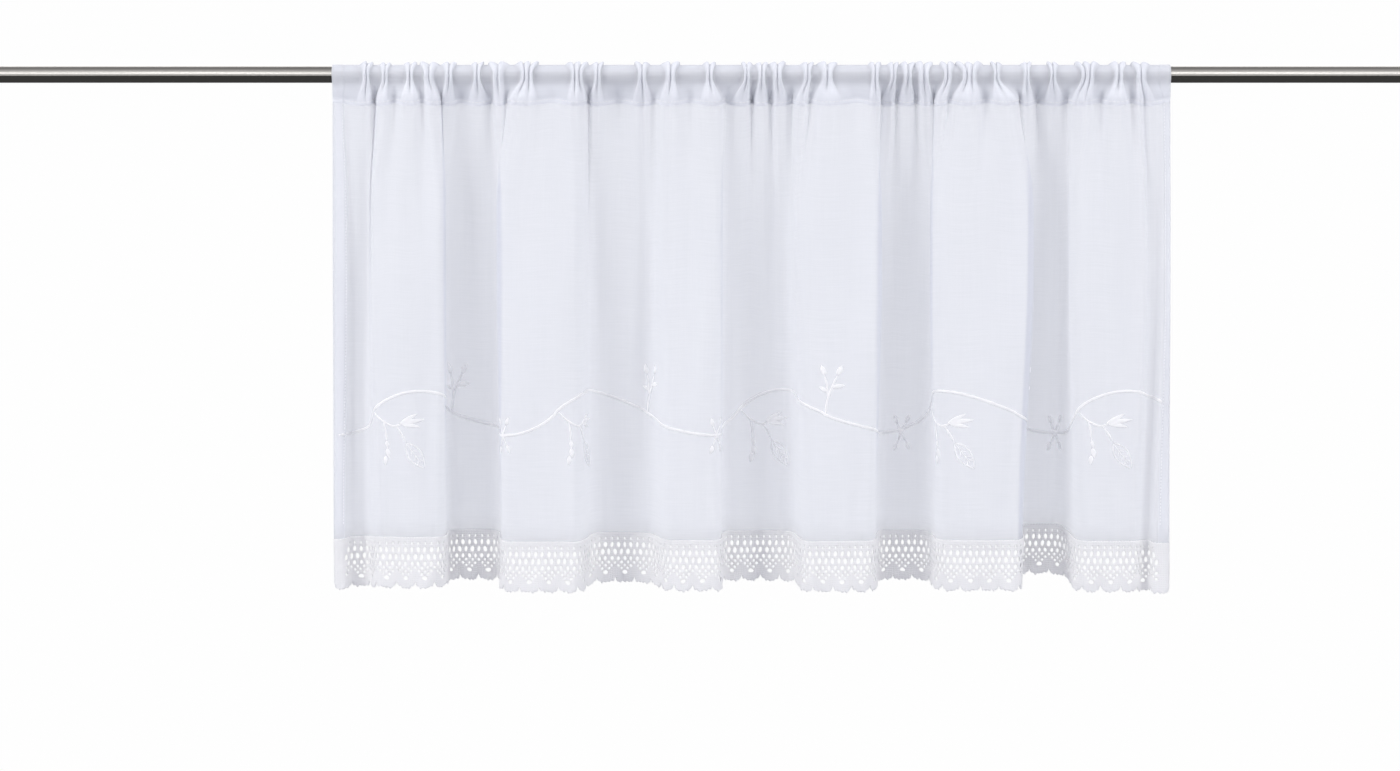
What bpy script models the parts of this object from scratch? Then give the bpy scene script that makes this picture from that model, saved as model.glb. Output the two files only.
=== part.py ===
"""Cafe curtain: a sheer rod-pocket panel with a lace edging, on the plain round rod that it hangs from.

Metres, +Z up. X runs along the rod, the front faces -Y, and the origin is on the rod's axis above the
middle of the curtain. The tables are in millimetres.
"""

import math
from bisect import bisect_right
from collections import namedtuple

import bpy
import bmesh
from mathutils import Vector

MM = 0.001

# Rod
ROD_RADIUS = 0.008
ROD_LENGTH = 1.5
ROD_SIDES = 32

# Cloth, cut 1.2 m wide and gathered to 0.792 m
FLAT_WIDTH = 1.2
LEFT, RIGHT = -0.396, 0.396
CLOTH = 0.0012
SIDE_HEM = 0.012
HEM_CLOTH = 0.0018
LACE_CLOTH = 0.0014
PIECE_GAP = 0.0005

# Heading: the pocket goes round the rod and is sewn shut below it
POCKET_CLEARANCE = 0.001
POCKET_SEAM = 0.028
POCKET_SEGMENTS = 6
POCKET_DIP = math.radians(20)
SEAM_OVERLAP = 0.0025
TALLEST_GATHER = 0.0065
GATHER_CREST = 0.36
GATHER_ON_TOP = 0.35
SEAM_WAVE = 0.005
WIDEST_COLUMN = 0.013

# Lace edging
LACE_DROP = 0.0485
LACE_REPEATS = 60

# Hang of the cloth below the pocket, as shares of the way from the seam to the lace
SHEET_ROWS = (0.0, 0.02, 0.1, 0.26, 0.6, 1.0)
FOLD_AT_SEAM = 0.18
FOLD_SETTLED = 0.24
HEM_STARTS = 0.4
PUCKER_REACH = 0.12
BULGE = 0.12
CORNER = 0.7
PROFILE_STEPS = 24

# A riser is where the cloth turns between a front fold and a back fold. x is its middle and run its width
# along the rod, at mid height and at the lace. depth is how far back the cloth lies after it, and hem how
# low its lower edge hangs there.
Riser = namedtuple("Riser", "mid_x mid_run hem_x hem_run depth hem")
RISERS = (
    Riser(-382, 8, -384, 12, -1, -438),
    Riser(-361, 10, -359, 20, -22, -437),
    Riser(-291, 12, -290, 18, 22, -434),
    Riser(-239, 12, -238, 24, -23, -441.5),
    Riser(-156, 24, -156, 28, 13, -436),
    Riser(-88, 30, -88, 30, -20, -440.5),
    Riser(-28, 14, -28, 18, 17, -434.5),
    Riser(41, 22, 45, 28, -23, -441),
    Riser(122, 14, 119, 24, 22, -434.5),
    Riser(171, 13, 174, 26, -23, -440),
    Riser(265, 13, 257, 16, 24, -429),
    Riser(301, 18, 304, 30, -22, -441),
    Riser(373, 10, 368, 12, -11, -441),
    Riser(386, 8, 380, 8, -18, -443),
)
START_DEPTH, START_HEM = -9, -440

# A gather is a narrow standing fold of the pocket: its middle along the rod and its width.
Gather = namedtuple("Gather", "x width")
GATHERS = (
    Gather(-365, 6),
    Gather(-354, 9),
    Gather(-322.5, 7),
    Gather(-303.5, 11),
    Gather(-291, 8),
    Gather(-259.5, 6),
    Gather(-238.5, 11),
    Gather(-212.5, 12),
    Gather(-165, 12),
    Gather(-146, 6),
    Gather(-103, 8),
    Gather(-77, 10),
    Gather(-40, 7),
    Gather(-4, 6),
    Gather(9.5, 7),
    Gather(24, 9),
    Gather(52, 7),
    Gather(71, 11),
    Gather(116.5, 7),
    Gather(133.5, 6),
    Gather(147, 8),
    Gather(162, 10),
    Gather(185.5, 8),
    Gather(206, 14),
    Gather(232, 6),
    Gather(259, 6),
    Gather(285, 6),
    Gather(317.5, 13),
    Gather(346, 9),
    Gather(368, 10),
)

# Half of one lace repeat, from its middle outwards: the lower edge, as shares of half a repeat and of the
# drop. Each half has its tip near the middle and its notch at the end.
SCALLOP = ((0.0, 1.0), (0.34, 0.985), (0.68, 0.955), (1.0, 0.9))

# Lace holes, as shares of the drop: the upper row has three to a repeat, and the eye is one.
NET_TOP, NET_MIDDLE, NET_FOOT = 0.3, 0.36, 0.42
NET_HALF_WIDTH = 0.0018
EYE_TOP, EYE_MIDDLE, EYE_FOOT = 0.72, 0.785, 0.85
EYE_HALF_WIDTH = 0.0029

# name, base colour, roughness, metallic
FINISHES = {
    "rod": ((0.45, 0.43, 0.41, 1.0), 0.32, 1.0),
    "panel": ((0.9, 0.91, 0.94, 1.0), 0.85, 0.0),
    "lace_edging": ((0.93, 0.93, 0.93, 1.0), 0.9, 0.0),
}


def clear_scene():
    """Removes every object, so that the script can be run again."""
    for item in list(bpy.data.objects):
        bpy.data.objects.remove(item, do_unlink=True)


def finish(name):
    """The material of one piece."""
    colour, roughness, metallic = FINISHES[name]
    material = bpy.data.materials.new(name)
    material.use_nodes = True
    shader = material.node_tree.nodes["Principled BSDF"]
    shader.inputs["Base Color"].default_value = colour
    shader.inputs["Roughness"].default_value = roughness
    shader.inputs["Metallic"].default_value = metallic
    return material


def add_object(name, mesh):
    """Puts a mesh in the scene under its piece's name, with its material."""
    piece = bpy.data.objects.new(name, mesh)
    mesh.materials.append(finish(name))
    bpy.context.scene.collection.objects.link(piece)
    return piece


def smooth(share):
    """An S-shaped ramp from 0 to 1."""
    share = min(1.0, max(0.0, share))
    return share * share * (3 - 2 * share)


def look_up(place, places, values):
    """The value at a place, on straight lines between known ones."""
    k = min(max(bisect_right(places, place) - 1, 0), len(places) - 2)
    share = (place - places[k]) / (places[k + 1] - places[k])
    return values[k] + (values[k + 1] - values[k]) * min(1.0, max(0.0, share))


# Folds below the heading


def headings(angle, turns):
    """The cloth's direction at even steps of a stretch that swings to an angle and back, once or twice."""
    swings = [math.sin(turns * math.pi * (k + 0.5) / PROFILE_STEPS) for k in range(PROFILE_STEPS)]
    return [angle * math.copysign(abs(swing) ** CORNER, swing) for swing in swings]


def reach(angle, turns):
    """How far a stretch of length 1 gets along the rod and back."""
    swing = headings(angle, turns)
    return (
        sum(math.cos(a) for a in swing) / PROFILE_STEPS,
        sum(math.sin(a) for a in swing) / PROFILE_STEPS,
    )


def riser_angle(run, rise):
    """The steepest angle of a riser, past a right angle where the fold overhangs."""
    low, high = 0.0, math.pi
    for _ in range(40):
        angle = (low + high) / 2
        along, back = reach(angle, 1)
        if math.atan2(back, along) < math.atan2(abs(rise), run):
            low = angle
        else:
            high = angle
    return math.copysign(low, rise)


def plan(x_column, run_column):
    """The cloth seen from above at one height: x, y, flat length and lower edge of each point."""
    xs, ys, lengths, hems = [LEFT], [START_DEPTH * MM], [0.0], [START_HEM * MM]

    def add(angle, turns, length, hem):
        first = hems[-1]
        step = length / PROFILE_STEPS
        for k, heading in enumerate(headings(angle, turns)):
            xs.append(xs[-1] + step * math.cos(heading))
            ys.append(ys[-1] + step * math.sin(heading))
            lengths.append(lengths[-1] + step)
            hems.append(first + (hem - first) * smooth((k + 1) / PROFILE_STEPS))

    def add_flat(end):
        bulge = math.copysign(BULGE, ys[-1])
        add(bulge, 2, (end - xs[-1]) / reach(bulge, 2)[0], hems[-1])

    for riser in RISERS:
        middle, run = getattr(riser, x_column) * MM, getattr(riser, run_column) * MM
        add_flat(middle - run / 2)
        rise = riser.depth * MM - ys[-1]
        angle = riser_angle(run, rise)
        add(angle, 1, rise / reach(angle, 1)[1], riser.hem * MM)
    add_flat(RIGHT)
    return xs, ys, lengths, hems


MID_X, MID_Y, _, _ = plan("mid_x", "mid_run")
HEM_X, HEM_Y, HEM_LENGTHS, HEM_EDGE = plan("hem_x", "hem_run")
CUT_SHARE = FLAT_WIDTH / HEM_LENGTHS[-1]
FLAT = [length * CUT_SHARE for length in HEM_LENGTHS]

# The middle of each flat stretch, where the cloth is neither fuller nor tighter than the rest
EVEN_STEPS = [0]
EVEN_STEPS += range(2 * PROFILE_STEPS + PROFILE_STEPS // 2, len(FLAT) - PROFILE_STEPS, 2 * PROFILE_STEPS)
EVEN_STEPS += [len(FLAT) - 1]
EVEN_FLAT = [FLAT[k] for k in EVEN_STEPS]
EVEN_X = [HEM_X[k] for k in EVEN_STEPS]


# Gathers of the heading


def gather_knots():
    """Along the flat cloth: the place on the rod and the height of each gather's feet and crest."""
    middles = [
        (a.x + a.width / 2 + b.x - b.width / 2) / 2 * MM for a, b in zip(GATHERS, GATHERS[1:])
    ]
    borders_x = [LEFT, *middles, RIGHT]
    borders_flat = [look_up(x, EVEN_X, EVEN_FLAT) for x in borders_x]
    flat, place, height = [0.0], [LEFT], [0.0]
    waves_flat, waves = [0.0], [0.5]
    for k, gather in enumerate(GATHERS):
        foot_left = (gather.x - gather.width / 2) * MM
        foot_right = (gather.x + gather.width / 2) * MM
        flat_left = borders_flat[k] + foot_left - borders_x[k]
        flat_right = borders_flat[k + 1] - (borders_x[k + 1] - foot_right)
        crest = GATHER_CREST * gather.width * MM
        side = (flat_right - flat_left - crest) / 2
        slope = (foot_right - foot_left - crest) / 2
        tall = min(TALLEST_GATHER, math.sqrt(max(0.0, side * side - slope * slope)))
        flat += [flat_left, flat_left + side, flat_right - side, flat_right]
        place += [foot_left, foot_left + slope, foot_right - slope, foot_right]
        height += [0.0, tall, tall, 0.0]
        waves_flat += [(flat_left + flat_right) / 2, borders_flat[k + 1]]
        waves += [1.0, 0.0]
    waves[-1] = 0.5
    return [*flat, FLAT_WIDTH], [*place, RIGHT], [*height, 0.0], waves_flat, waves


KNOT_FLAT, KNOT_X, KNOT_HEIGHT, WAVE_FLAT, WAVE = gather_knots()


def seam_wave(flat):
    """How far the gathers still push the cloth forward or back at the pocket's seam."""
    k = min(max(bisect_right(WAVE_FLAT, flat) - 1, 0), len(WAVE_FLAT) - 2)
    share = (flat - WAVE_FLAT[k]) / (WAVE_FLAT[k + 1] - WAVE_FLAT[k])
    return SEAM_WAVE * (0.5 - WAVE[k] - (WAVE[k + 1] - WAVE[k]) * smooth(share))


def seam_place(flat):
    """Where a point of the cloth lies along the rod at the seam: between the gathers, even and in its fold."""
    gathered, even = look_up(flat, KNOT_FLAT, KNOT_X), look_up(flat, EVEN_FLAT, EVEN_X)
    return 0.25 * gathered + 0.35 * even + 0.4 * look_up(flat, FLAT, MID_X)


def sheet_point(flat, share):
    """A point of the hanging sheet, from the pocket's seam (share 0) to its lower edge (share 1)."""
    to_mid = smooth(share / FOLD_SETTLED)
    to_hem = smooth((share - HEM_STARTS) / (1 - HEM_STARTS))
    mid_x, mid_y = look_up(flat, FLAT, MID_X), look_up(flat, FLAT, MID_Y)
    hem_x, hem_y = look_up(flat, FLAT, HEM_X), look_up(flat, FLAT, HEM_Y)
    fold_x = mid_x + (hem_x - mid_x) * to_hem
    fold_y = mid_y + (hem_y - mid_y) * to_hem
    depth = FOLD_AT_SEAM + (1 - FOLD_AT_SEAM) * (1 - (1 - share) ** 2)
    pucker = seam_wave(flat) * math.exp(-share / PUCKER_REACH)
    x = seam_place(flat) * (1 - to_mid) + fold_x * to_mid
    hem = look_up(flat, FLAT, HEM_EDGE)
    return Vector((x, pucker + depth * fold_y, -POCKET_SEAM + (hem + POCKET_SEAM) * share))


def pocket_rows():
    """The pocket's path round the rod, front to back: y, z, outward y and z, and nearness to the rod."""
    radius = ROD_RADIUS + POCKET_CLEARANCE + CLOTH / 2
    seam_z = -POCKET_SEAM
    ring = []
    for k in range(POCKET_SEGMENTS + 1):
        angle = -POCKET_DIP + (math.pi + 2 * POCKET_DIP) * k / POCKET_SEGMENTS
        out_y, out_z = -math.cos(angle), math.sin(angle)
        ring.append((radius * out_y, radius * out_z, out_y, out_z, 1.0))
    first, last = ring[0], ring[-1]
    lower_front = (first[0] / 2, (first[1] + seam_z) / 2, -1.0, 0.0, 0.5)
    lower_back = (last[0] / 2, (last[1] + seam_z) / 2, 1.0, 0.0, 0.5)
    return [lower_front, *ring, lower_back]


def pocket_point(flat, row):
    """A point of the pocket, on one row of its path round the rod."""
    y, z, out_y, out_z, near = row
    x = seam_place(flat) * (1 - near) + look_up(flat, KNOT_FLAT, KNOT_X) * near
    stand = look_up(flat, KNOT_FLAT, KNOT_HEIGHT) * near
    stand *= 1 - (1 - GATHER_ON_TOP) * max(0.0, out_z)
    fold = sheet_point(flat, 0.0).y * (1 - near)
    return Vector((x, y + fold + out_y * stand, z + out_z * stand))


# Panel


def cloth_columns():
    """Flat places of the panel's columns: each gather's feet and crest, and steps between them."""
    places = []
    for a, b in zip(KNOT_FLAT, KNOT_FLAT[1:]):
        count = max(1, math.ceil((b - a) / WIDEST_COLUMN))
        places += [a + (b - a) * k / count for k in range(count)]
    places.append(FLAT_WIDTH)
    for hem_line in (SIDE_HEM, FLAT_WIDTH - SIDE_HEM):
        nearest = min(range(1, len(places) - 1), key=lambda k: abs(places[k] - hem_line))
        places[nearest] = hem_line
    return places


def grid_normal(grid, i, j, level=False):
    """The outward direction of a grid of points at column i and row j."""
    along = grid[min(i + 1, len(grid) - 1)][j] - grid[max(i - 1, 0)][j]
    up = grid[i][min(j + 1, len(grid[i]) - 1)] - grid[i][max(j - 1, 0)]
    normal = along.cross(Vector((0, 0, 1)) if level else up)
    return normal.normalized()


def panel_columns():
    """Outer and inner outline of the cloth at each column: up the front, round the rod, down the back."""
    places = cloth_columns()
    sheet = [[sheet_point(flat, share) for share in reversed(SHEET_ROWS)] for flat in places]
    rows = pocket_rows()
    pocket = [[pocket_point(flat, row) for row in rows] for flat in places]
    columns = []
    for i, flat in enumerate(places):
        at_hem = flat <= SIDE_HEM or flat >= FLAT_WIDTH - SIDE_HEM
        half = (HEM_CLOTH if at_hem else CLOTH) / 2
        front, back = [], []
        last = len(SHEET_ROWS) - 1
        for j, point in enumerate(sheet[i]):
            normal = grid_normal(sheet, i, j, level=j in (0, last))
            offset = 2 * half if j == last else half
            front.append(point + normal * offset)
            back.append(point - normal * offset)
        outer, inner = [], [sheet[i][last] + Vector((0, 0, SEAM_OVERLAP))]
        for j, point in enumerate(pocket[i]):
            normal = grid_normal(pocket, i, j)
            outer.append(point + normal * half)
            inner.append(point - normal * CLOTH / 2)
        columns.append((front + outer + back[::-1], inner))
    return columns


def join_rings(mesh, rings, outwards):
    """Walls a row of closed rings of points, each joined to the next."""
    count = len(rings[0])
    for a, b in zip(rings, rings[1:]):
        for k in range(count):
            corners = [a[k], b[k], b[(k + 1) % count], a[(k + 1) % count]]
            mesh.faces.new(corners if outwards else corners[::-1])


def cap_end(mesh, outer, inner, sheet_rows, outwards):
    """Closes one side edge of the cloth: the sheet below the seam and the pocket round its hollow."""
    count = len(outer)
    faces = []
    for j in range(sheet_rows - 1):
        faces.append([outer[j], outer[j + 1], outer[count - 2 - j], outer[count - 1 - j]])
    seam, back_seam = sheet_rows - 1, count - sheet_rows
    faces.append([outer[seam], inner[0], outer[back_seam]])
    for k in range(len(inner)):
        a, b = seam + k, seam + k + 1
        faces.append([outer[a], outer[b], inner[(k + 1) % len(inner)], inner[k]])
    for corners in faces:
        mesh.faces.new(corners if outwards else corners[::-1])


def build_panel():
    """The voile: one sheet with its side hems, folded over the rod and sewn to itself below it."""
    mesh = bmesh.new()
    outers, inners = [], []
    for outer, inner in panel_columns():
        outers.append([mesh.verts.new(p) for p in outer])
        inners.append([mesh.verts.new(p) for p in inner])
    join_rings(mesh, outers, outwards=True)
    join_rings(mesh, inners, outwards=False)
    rows = len(SHEET_ROWS)
    cap_end(mesh, outers[0], inners[0], rows, outwards=True)
    cap_end(mesh, outers[-1], inners[-1], rows, outwards=False)
    return add_object("panel", mesh_data("panel", mesh))


def mesh_data(name, mesh):
    """Turns a bmesh into triangles that face outwards, and then into mesh data."""
    bmesh.ops.triangulate(mesh, faces=mesh.faces)
    bmesh.ops.recalc_face_normals(mesh, faces=mesh.faces)
    data = bpy.data.meshes.new(name)
    mesh.to_mesh(data)
    mesh.free()
    return data


# Lace edging


def lace_point(flat, down):
    """A point of the lace's middle layer and its outward direction, at a distance below its top."""
    x, y = look_up(flat, FLAT, HEM_X), look_up(flat, FLAT, HEM_Y)
    near = 0.5 * MM
    before, after = max(0.0, flat - near), min(FLAT_WIDTH, flat + near)
    along = Vector((
        look_up(after, FLAT, HEM_X) - look_up(before, FLAT, HEM_X),
        look_up(after, FLAT, HEM_Y) - look_up(before, FLAT, HEM_Y),
        0.0,
    ))
    top = look_up(flat, FLAT, HEM_EDGE) - PIECE_GAP
    return Vector((x, y, top - down)), along.cross(Vector((0, 0, 1))).normalized()


def lace_outline():
    """The flat lace: its points (flat, down) and its faces, round the holes of every repeat."""
    points, faces, index = [], [], {}

    def at(flat, down):
        key = (round(flat, 7), round(down, 7))
        if key not in index:
            index[key] = len(points)
            points.append((flat, down * LACE_DROP))
        return index[key]

    repeat = FLAT_WIDTH / LACE_REPEATS
    pitch = repeat / 3
    for n in range(LACE_REPEATS):
        start = n * repeat
        middle = start + repeat / 2
        holes = [start + pitch * (k + 0.5) for k in range(3)]
        edges = [start, *[start + pitch * k for k in (1, 2)], start + repeat]
        for hole, a, b in zip(holes, edges, edges[1:]):
            left, right = hole - NET_HALF_WIDTH, hole + NET_HALF_WIDTH
            faces.append([at(a, 0), at(b, 0), at(b, NET_MIDDLE), at(hole, NET_TOP), at(a, NET_MIDDLE)])
            faces.append([at(a, NET_MIDDLE), at(hole, NET_TOP), at(left, NET_MIDDLE)])
            faces.append([at(b, NET_MIDDLE), at(right, NET_MIDDLE), at(hole, NET_TOP)])
            faces.append([at(a, NET_MIDDLE), at(left, NET_MIDDLE), at(hole, NET_FOOT)])
            faces.append([at(b, NET_MIDDLE), at(hole, NET_FOOT), at(right, NET_MIDDLE)])
        for side in (-1, 1):
            outer_hole = middle + side * pitch
            eye_side = at(middle + side * EYE_HALF_WIDTH, EYE_MIDDLE)
            border = middle + side * repeat / 2
            ring = [at(middle, NET_FOOT), at(middle, EYE_TOP), eye_side, at(middle, EYE_FOOT)]
            ring += [at(middle + side * share * repeat / 2, down) for share, down in SCALLOP]
            ring += [at(border, NET_MIDDLE), at(outer_hole, NET_FOOT)]
            ring += [at(middle + side * pitch / 2, NET_MIDDLE)]
            faces.append(ring)
    return points, faces


def build_lace():
    """The crocheted edging: one sheet with its largest holes cut through and a scalloped lower edge."""
    points, faces = lace_outline()
    mesh = bmesh.new()
    front, back = [], []
    for flat, down in points:
        place, normal = lace_point(flat, down)
        front.append(mesh.verts.new(place + normal * LACE_CLOTH / 2))
        back.append(mesh.verts.new(place - normal * LACE_CLOTH / 2))
    flat_mesh = bmesh.new()
    corners = [flat_mesh.verts.new((flat, down, 0.0)) for flat, down in points]
    for ring in faces:
        flat_mesh.faces.new([corners[k] for k in ring])
    bmesh.ops.triangulate(flat_mesh, faces=flat_mesh.faces)
    bmesh.ops.recalc_face_normals(flat_mesh, faces=flat_mesh.faces)
    flat_mesh.verts.index_update()
    for face in flat_mesh.faces:
        ring = [vert.index for vert in face.verts]
        mesh.faces.new([front[k] for k in ring])
        mesh.faces.new([back[k] for k in reversed(ring)])
        for loop in face.loops:
            if loop.edge.is_boundary:
                a, b = loop.vert.index, loop.link_loop_next.vert.index
                mesh.faces.new([front[b], front[a], back[a], back[b]])
    flat_mesh.free()
    return add_object("lace_edging", mesh_data("lace_edging", mesh))


# Rod


def build_rod():
    """The plain round rod, its ends cut square."""
    mesh = bmesh.new()
    bmesh.ops.create_cone(
        mesh,
        cap_ends=True,
        segments=ROD_SIDES,
        radius1=ROD_RADIUS,
        radius2=ROD_RADIUS,
        depth=ROD_LENGTH,
    )
    data = bpy.data.meshes.new("rod")
    mesh.to_mesh(data)
    mesh.free()
    rod = add_object("rod", data)
    data.shade_smooth()
    data.set_sharp_from_angle(angle=math.radians(40))
    rod.rotation_euler = (0.0, math.pi / 2, 0.0)
    return rod


clear_scene()
build_rod()
build_panel()
build_lace()
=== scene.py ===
"""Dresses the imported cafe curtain: voile with gathers and stitching, crocheted lace, a vine and a steel rod.

Metres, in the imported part's frame: X along the rod, the front at -Y, the origin on the rod's axis above the
middle of the curtain. Tables are in millimetres unless they say otherwise. The fold table is the part's own,
and the gathers follow the part's to within 8 mm. Puckers, creases and wrinkles are made here.
"""

import math
import random
from collections import namedtuple

import bmesh
import bpy
import numpy as np
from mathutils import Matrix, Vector
from mathutils.geometry import delaunay_2d_cdt


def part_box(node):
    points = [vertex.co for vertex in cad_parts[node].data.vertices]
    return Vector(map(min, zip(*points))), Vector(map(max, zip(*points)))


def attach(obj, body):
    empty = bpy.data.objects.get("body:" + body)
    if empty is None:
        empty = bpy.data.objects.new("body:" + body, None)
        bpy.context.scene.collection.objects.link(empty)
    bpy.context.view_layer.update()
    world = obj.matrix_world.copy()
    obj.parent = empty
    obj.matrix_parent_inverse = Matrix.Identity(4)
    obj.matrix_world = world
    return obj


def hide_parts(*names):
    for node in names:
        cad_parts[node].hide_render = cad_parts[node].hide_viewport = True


MM = 0.001

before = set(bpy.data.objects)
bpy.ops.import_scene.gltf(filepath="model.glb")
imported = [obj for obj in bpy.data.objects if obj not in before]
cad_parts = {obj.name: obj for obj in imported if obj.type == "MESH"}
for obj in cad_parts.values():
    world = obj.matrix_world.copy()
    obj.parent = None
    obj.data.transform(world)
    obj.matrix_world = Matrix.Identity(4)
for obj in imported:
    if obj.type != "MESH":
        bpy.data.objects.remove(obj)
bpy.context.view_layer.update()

# Cloth, cut 1.2 m wide and gathered to 0.792 m
FLAT_WIDTH = 1.2
LEFT, RIGHT = -0.396, 0.396
VOILE = 0.00035
SIDE_HEM = 0.012
HEM_VOILE = 0.0008

# Pocket round the rod
ROD_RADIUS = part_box("rod")[1].z
POCKET_RADIUS = ROD_RADIUS + 0.0008
POCKET_SEAM = 0.0235
SEAM_SAG = 0.003
POCKET_TAIL = 0.0035
LAYER_GAP = 0.0005
LEG_ROWS = 8
RING_ROWS = 16
TAIL_ROWS = 2
TAIL_EDGE = 0.3

# How dense the cloth looks, from 0, single, to 1, doubled or bunched. Round the rod the density is painted
# light and shade: the pocket is fuller, so whiter, over the rod's top and below the rod, and thinnest, at
# PAINTED_SHADOW_SHARE of POCKET_LAYERS, from about the rod's middle to just below it, between two heights in
# rod radii, so the dark rod shows through there as a painted shadow. In creases the density stands partly for
# the folded cloth and partly for painted shade, so they read darker.
POCKET_LAYERS = 0.6
PAINTED_SHADOW_SHARE = 0.6
ABOVE_ROD, BELOW_ROD, BELOW_STEEPNESS = 0.45, 0.75, 1.2
CREASE_FOLD_AND_SHADE = 0.75
CREASE_FALLOFF = 1.5
HEM_LAYERS = 0.3

# Gathers
PLEAT_WIDTH = 0.0047
TALLEST_PLEAT = 0.0036
PLEAT_ROUNDNESS = 0.75
PLEAT_STEPS = 12
TOP_SPREAD = 1.9
TOP_STAND = 1.0
BELL_SPREAD = 0.45
BELL_DEPTH = 0.0034
BELL_PERIOD = 0.04
RIDGE_AT_SEAM = 0.35
CREASE_SHARPNESS = 2.4
SEAM_WELT = 0.0003
WELT_ROWS = (0.0, 0.5, 1.1, 1.8, 2.6, 3.4, 4.4, 6.0)
GATHER_COLUMN = 0.0015
PLAIN_COLUMN = 0.0034

# Hang of the cloth below the pocket, as shares of the way from the seam to the lace
SHEET_ROWS = 34
ROW_CROWDING = 1.5
FOLD_AT_SEAM = 0.3
FOLD_SETTLED = 0.24
HEM_STARTS = 0.4
PUCKER_REACH = 0.14
BULGE = 0.12
CORNER = 0.7
PROFILE_STEPS = 24

# A riser is where the cloth turns between a front fold and a back fold. x is its middle and run its width
# along the rod, at mid height and at the lace. depth is how far back the cloth lies after it, and hem how
# low its lower edge hangs there.
Riser = namedtuple("Riser", "mid_x mid_run hem_x hem_run depth hem")
RISERS = (
    Riser(-382, 8, -384, 12, -1, -438),
    Riser(-361, 10, -359, 20, -22, -437),
    Riser(-291, 12, -290, 18, 22, -434),
    Riser(-239, 12, -238, 24, -23, -441.5),
    Riser(-156, 24, -156, 28, 13, -436),
    Riser(-88, 30, -88, 30, -20, -440.5),
    Riser(-28, 14, -28, 18, 17, -434.5),
    Riser(41, 22, 45, 28, -23, -441),
    Riser(122, 14, 119, 24, 22, -434.5),
    Riser(171, 13, 174, 26, -23, -440),
    Riser(265, 13, 257, 16, 24, -429),
    Riser(301, 18, 304, 30, -22, -441),
    Riser(373, 10, 368, 12, -11, -441),
    Riser(386, 8, 380, 8, -18, -443),
)
START_DEPTH, START_HEM = -9, -440

# A gather is a narrow standing fold of the pocket: its middle along the rod and its width.
Gather = namedtuple("Gather", "x width")
GATHERS = (
    Gather(-364, 7),
    Gather(-346, 6),
    Gather(-322.5, 7),
    Gather(-304, 10),
    Gather(-286, 8),
    Gather(-259.5, 6),
    Gather(-238.5, 11),
    Gather(-212.5, 12),
    Gather(-165, 12),
    Gather(-146, 6),
    Gather(-103, 8),
    Gather(-77, 10),
    Gather(-40, 7),
    Gather(-4, 6),
    Gather(9.5, 7),
    Gather(24, 9),
    Gather(52, 7),
    Gather(71, 11),
    Gather(116.5, 7),
    Gather(133.5, 6),
    Gather(147, 8),
    Gather(162, 10),
    Gather(185.5, 8),
    Gather(206, 14),
    Gather(232, 6),
    Gather(259, 6),
    Gather(285, 6),
    Gather(317.5, 13),
    Gather(346, 9),
    Gather(368, 10),
)

# A crease runs down from a tight gather or from between two: its place along the rod, its width and depth,
# and the share of the cloth's drop in which it fades
Crease = namedtuple("Crease", "x width depth reach")
CREASES = (
    Crease(-356, 3.2, 9.0, 0.35),
    Crease(-293, 3.4, 6.5, 0.16),
    Crease(-154, 3.4, 6.0, 0.16),
    Crease(-103, 4.0, 2.5, 0.08),
    Crease(-27, 6.0, 3.0, 0.1),
    Crease(1, 4.0, 4.0, 0.1),
    Crease(19, 4.0, 4.5, 0.16),
    Crease(64, 4.5, 3.5, 0.12),
    Crease(126, 4.5, 4.0, 0.16),
    Crease(175, 4.0, 3.5, 0.1),
    Crease(219, 4.5, 3.0, 0.14),
    Crease(272, 4.5, 4.0, 0.12),
    Crease(332, 4.5, 3.5, 0.2),
    Crease(371, 4.0, 4.0, 0.3),
)

DEEPEST_CREASE = max(c.depth for c in CREASES)

# Soft wrinkles: the lengths of waves across and down the flat cloth, in metres, their depth in millimetres
# and their turn in radians. The lace has its own, which shift its meshes along and lower its edge.
Wrinkle = namedtuple("Wrinkle", "across down depth turn")
WRINKLES = (
    Wrinkle(0.083, 0.9, 1.1, 0.4),
    Wrinkle(0.047, 0.55, 0.6, 2.1),
    Wrinkle(0.031, -0.38, 0.4, 4.0),
    Wrinkle(0.11, -0.3, 1.0, 1.2),
    Wrinkle(0.019, 0.25, 0.12, 5.1),
)
LACE_SHIFTS = (Wrinkle(0.0137, 0.021, 0.3, 0.0), Wrinkle(0.0311, -0.013, 0.25, 1.0))
LACE_DROPS = (Wrinkle(0.0173, math.inf, 0.6, 0.0), Wrinkle(0.0061, math.inf, 0.4, 0.0))

# Lace: one repeat is three meshes wide
LACE_DROP = 0.0485
LACE_REPEATS = 60
REPEAT = FLAT_WIDTH / LACE_REPEATS
BORDER = REPEAT / 2
MESH_PITCH = REPEAT / 3
LACE_HALF = 0.00055
LACE_EDGE_HALF = 0.0002
LACE_OVERLAP = 0.003
LACE_AHEAD = 0.0007
LACE_RIM = 0.0005
LACE_GRID = 0.0017
GRID_ROW = LACE_GRID * 0.87
LACE_FLARE, FLARE_PERIOD = 0.0013, 0.047
LACE_DRAWN_IN, LACE_SETTLES = 0.7, 0.02
HOLE_CORNERS = 8
SCALLOP_RISE = 0.0046
SCALLOP_FLATNESS = 4.0
PICOTS = 5
PICOT = 0.0012
OUTLINE_STEPS = 40
BORDER_STEPS = 26

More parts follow.
